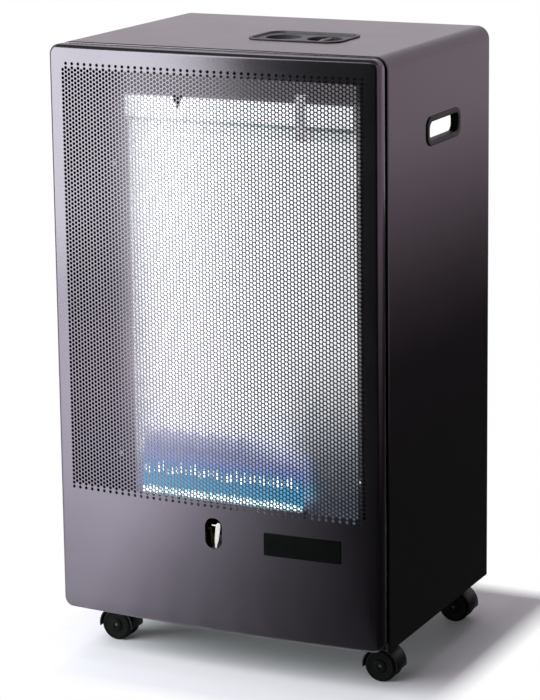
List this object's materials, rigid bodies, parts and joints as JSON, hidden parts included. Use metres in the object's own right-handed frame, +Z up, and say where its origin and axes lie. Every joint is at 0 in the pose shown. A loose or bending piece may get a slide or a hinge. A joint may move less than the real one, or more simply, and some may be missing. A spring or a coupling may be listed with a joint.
{
  "type": "portable gas cabinet heater",
  "caption": "Tall sheet-metal gas cabinet heater on swivel casters: bowed perforated front over a reflector and burner, side grips, top controls and a tip-back bottle cover.",
  "frame": {"origin": "on the floor, under the middle of the width and of the depth", "axes": "+Z up, the perforated front looks along -Y, +X is the right-hand side seen from the front"},
  "size_m": [0.4296, 0.3933, 0.7603],
  "materials": {
    "charcoal_paint": "satin powder coat, faint purple tint",
    "black_paint": "matt black enamel",
    "black_plastic": "moulded, satin",
    "gloss_black": "gloss plate",
    "bright_steel": "bright rolled sheet",
    "galvanised": "zinc-coated sheet",
    "brass": "machined",
    "copper": null,
    "ceramic": null,
    "wheel_rubber": "moulded wheel"
  },
  "bodies": {
    "cabinet": {"cabinet_shell": "charcoal_paint", "front_frame": "black_paint", "front_panel": "charcoal_paint", "badge_plate": "gloss_black", "base_tray": "black_paint", "heat_shield": "galvanised", "rear_rail": "charcoal_paint", "cover_catch": "bright_steel", "firebox_casing": "black_paint", "reflector_sheet": "bright_steel", "reflector_cap": "bright_steel", "reflector_clip": "black_paint", "reflector_brace": "galvanised", "burner_tube": "galvanised", "burner_bracket_left": "galvanised", "burner_bracket_right": "galvanised", "pilot_bracket": "galvanised", "pilot_burner": "brass", "thermocouple_probe": "copper", "spark_electrode": "ceramic", "control_bezel": "black_plastic", "valve_bracket": "galvanised", "gas_valve": "brass", "hose_inlet": "brass", "piezo_igniter": "black_plastic", "handle_trim_right": "black_plastic", "handle_trim_left": "black_plastic", "main_gas_pipe": "copper", "pilot_gas_pipe": "copper", "thermocouple_lead": "copper", "igniter_lead": "black_plastic", "caster_front_right_plate": "galvanised", "caster_front_left_plate": "galvanised", "caster_rear_right_plate": "galvanised", "caster_rear_left_plate": "galvanised"},
    "control_press": {"spindle_collar": "bright_steel"},
    "control_knob": {"control_knob": "black_plastic", "valve_spindle": "brass"},
    "igniter_button": {"igniter_button": "black_plastic"},
    "rear_cover": {"rear_cover": "charcoal_paint"},
    "caster_front_right_fork": {"caster_front_right_hood": "black_plastic", "caster_front_right_axle": "bright_steel"},
    "caster_front_right_wheel_a": {"caster_front_right_wheel_a": "wheel_rubber"},
    "caster_front_right_wheel_b": {"caster_front_right_wheel_b": "wheel_rubber"},
    "caster_front_left_fork": {"caster_front_left_hood": "black_plastic", "caster_front_left_axle": "bright_steel"},
    "caster_front_left_wheel_a": {"caster_front_left_wheel_a": "wheel_rubber"},
    "caster_front_left_wheel_b": {"caster_front_left_wheel_b": "wheel_rubber"},
    "caster_rear_right_fork": {"caster_rear_right_hood": "black_plastic", "caster_rear_right_axle": "bright_steel"},
    "caster_rear_right_wheel_a": {"caster_rear_right_wheel_a": "wheel_rubber"},
    "caster_rear_right_wheel_b": {"caster_rear_right_wheel_b": "wheel_rubber"},
    "caster_rear_left_fork": {"caster_rear_left_hood": "black_plastic", "caster_rear_left_axle": "bright_steel"},
    "caster_rear_left_wheel_a": {"caster_rear_left_wheel_a": "wheel_rubber"},
    "caster_rear_left_wheel_b": {"caster_rear_left_wheel_b": "wheel_rubber"}
  },
  "joints": [
    {"name": "knob_press", "type": "slide", "parent": "cabinet", "child": "control_press", "axis": [0, 0, -1], "range_m": [0, 0.004], "stiffness_N_per_m": 800, "springref_m": -0.004},
    {"name": "knob_turn", "type": "hinge", "parent": "control_press", "child": "control_knob", "pos_m": [0.075, -0.03165, 0.753], "axis": [0, 0, 1], "range_deg": [0, 240]},
    {"name": "igniter_press", "type": "slide", "parent": "cabinet", "child": "igniter_button", "axis": [0, 0, -1], "range_m": [0, 0.005], "stiffness_N_per_m": 600, "springref_m": -0.004},
    {"name": "cover_tilt", "type": "hinge", "parent": "cabinet", "child": "rear_cover", "pos_m": [0, 0.15625, 0.0613], "axis": [-1, 0, 0], "range_deg": [0, 90]},
    {"name": "caster_front_right_swivel", "type": "hinge", "parent": "cabinet", "child": "caster_front_right_fork", "pos_m": [0.166, -0.10405, 0.045], "axis": [0, 0, 1], "continuous": true},
    {"name": "caster_front_right_roll_a", "type": "hinge", "parent": "caster_front_right_fork", "child": "caster_front_right_wheel_a", "pos_m": [0.18, -0.095, 0.02], "axis": [0, 1, 0], "continuous": true},
    {"name": "caster_front_right_roll_b", "type": "hinge", "parent": "caster_front_right_fork", "child": "caster_front_right_wheel_b", "pos_m": [0.18, -0.1131, 0.02], "axis": [0, 1, 0], "continuous": true},
    {"name": "caster_front_left_swivel", "type": "hinge", "parent": "cabinet", "child": "caster_front_left_fork", "pos_m": [-0.166, -0.10405, 0.045], "axis": [0, 0, 1], "continuous": true},
    {"name": "caster_front_left_roll_a", "type": "hinge", "parent": "caster_front_left_fork", "child": "caster_front_left_wheel_a", "pos_m": [-0.18, -0.1131, 0.02], "axis": [0, 1, 0], "continuous": true},
    {"name": "caster_front_left_roll_b", "type": "hinge", "parent": "caster_front_left_fork", "child": "caster_front_left_wheel_b", "pos_m": [-0.18, -0.095, 0.02], "axis": [0, 1, 0], "continuous": true},
    {"name": "caster_rear_right_swivel", "type": "hinge", "parent": "cabinet", "child": "caster_rear_right_fork", "pos_m": [0.166, 0.12875, 0.045], "axis": [0, 0, 1], "continuous": true},
    {"name": "caster_rear_right_roll_a", "type": "hinge", "parent": "caster_rear_right_fork", "child": "caster_rear_right_wheel_a", "pos_m": [0.18, 0.1378, 0.02], "axis": [0, 1, 0], "continuous": true},
    {"name": "caster_rear_right_roll_b", "type": "hinge", "parent": "caster_rear_right_fork", "child": "caster_rear_right_wheel_b", "pos_m": [0.18, 0.1197, 0.02], "axis": [0, 1, 0], "continuous": true},
    {"name": "caster_rear_left_swivel", "type": "hinge", "parent": "cabinet", "child": "caster_rear_left_fork", "pos_m": [-0.166, 0.12875, 0.045], "axis": [0, 0, 1], "continuous": true},
    {"name": "caster_rear_left_roll_a", "type": "hinge", "parent": "caster_rear_left_fork", "child": "caster_rear_left_wheel_a", "pos_m": [-0.18, 0.1197, 0.02], "axis": [0, 1, 0], "continuous": true},
    {"name": "caster_rear_left_roll_b", "type": "hinge", "parent": "caster_rear_left_fork", "child": "caster_rear_left_wheel_b", "pos_m": [-0.18, 0.1378, 0.02], "axis": [0, 1, 0], "continuous": true}
  ]
}
